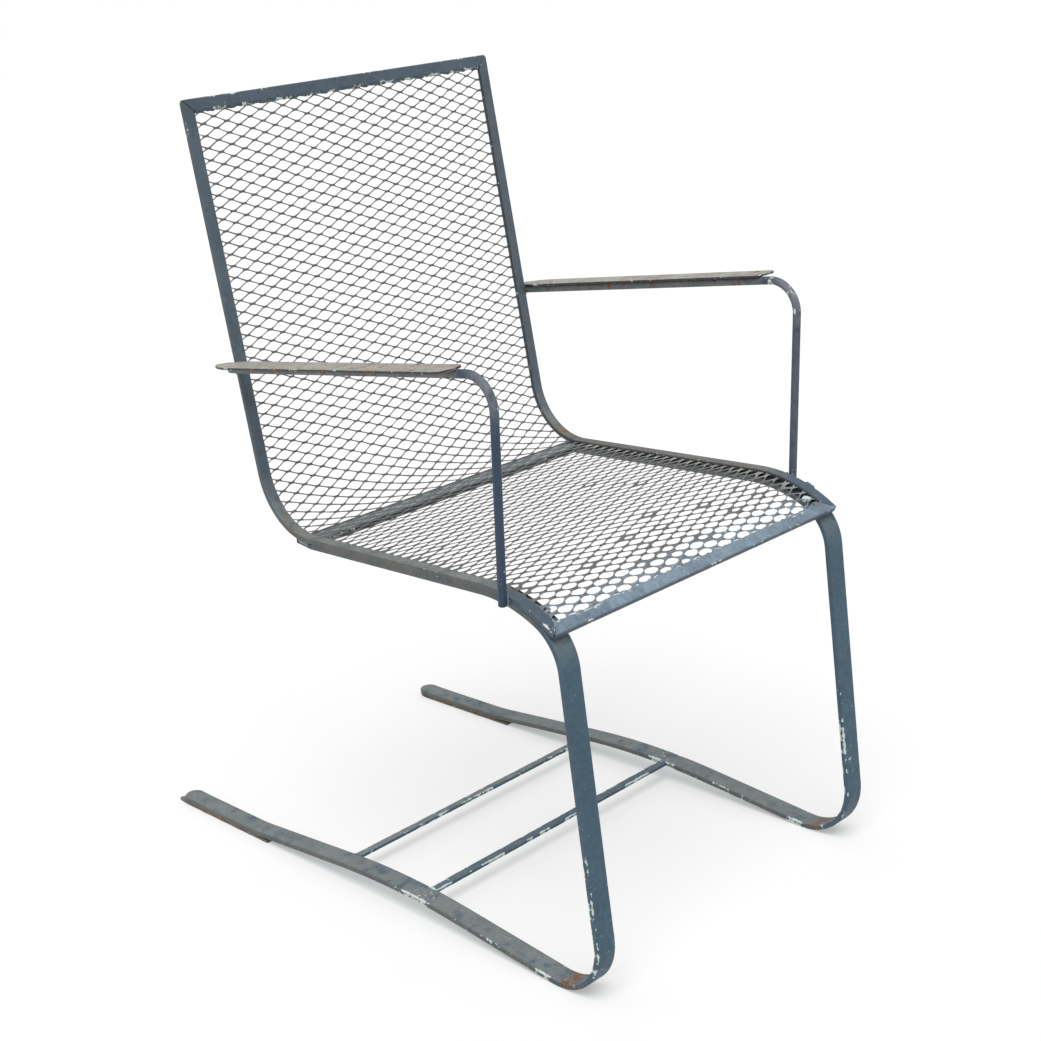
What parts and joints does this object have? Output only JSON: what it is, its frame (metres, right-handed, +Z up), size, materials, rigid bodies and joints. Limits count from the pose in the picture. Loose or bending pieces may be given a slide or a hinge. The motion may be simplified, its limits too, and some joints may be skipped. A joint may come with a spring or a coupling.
{
  "type": "spring lawn chair",
  "caption": "Cantilevered steel lawn chair with armrests, a seat and back of expanded metal, and bent leaf-spring legs that let it bounce.",
  "frame": {"origin": "on the floor under the middle of the chair's box", "axes": "+X to the left-hand side as one sits in it, which is the right side as seen from in front; +Y to the rear, the sitter faces -Y; +Z up"},
  "size_m": [0.4996, 0.7994, 0.9148],
  "materials": {
    "frame_paint": "worn satin slate-blue paint",
    "spring_paint": "worn satin slate-blue paint with rust at the bends",
    "arm_paint": "satin dark blue paint",
    "armrest_paint": "faded grey-green paint",
    "mesh_paint": "thick worn grey paint",
    "rusty_steel": "worn paint over rust"
  },
  "bodies": {
    "base": {"left_leaf_spring": "spring_paint", "right_leaf_spring": "spring_paint", "left_lower_leaf": "rusty_steel", "right_lower_leaf": "rusty_steel", "front_stretcher": "spring_paint", "rear_stretcher": "spring_paint"},
    "seat": {"left_side_rail": "frame_paint", "right_side_rail": "frame_paint", "front_rail": "frame_paint", "top_rail": "frame_paint", "rear_cross_bar": "frame_paint", "expanded_metal_sheet": "mesh_paint", "left_arm_rod": "arm_paint", "right_arm_rod": "arm_paint", "left_armrest": "armrest_paint", "right_armrest": "armrest_paint"}
  },
  "joints": [
    {"name": "seat_bounce", "type": "hinge", "parent": "base", "child": "seat", "pos_m": [0, -0.394, 0.18], "axis": [-1, 0, 0], "range_deg": [-2, 6], "stiffness_Nm_per_rad": 2100, "springref_deg": -0.59, "deforming": ["left_leaf_spring", "right_leaf_spring"]}
  ]
}
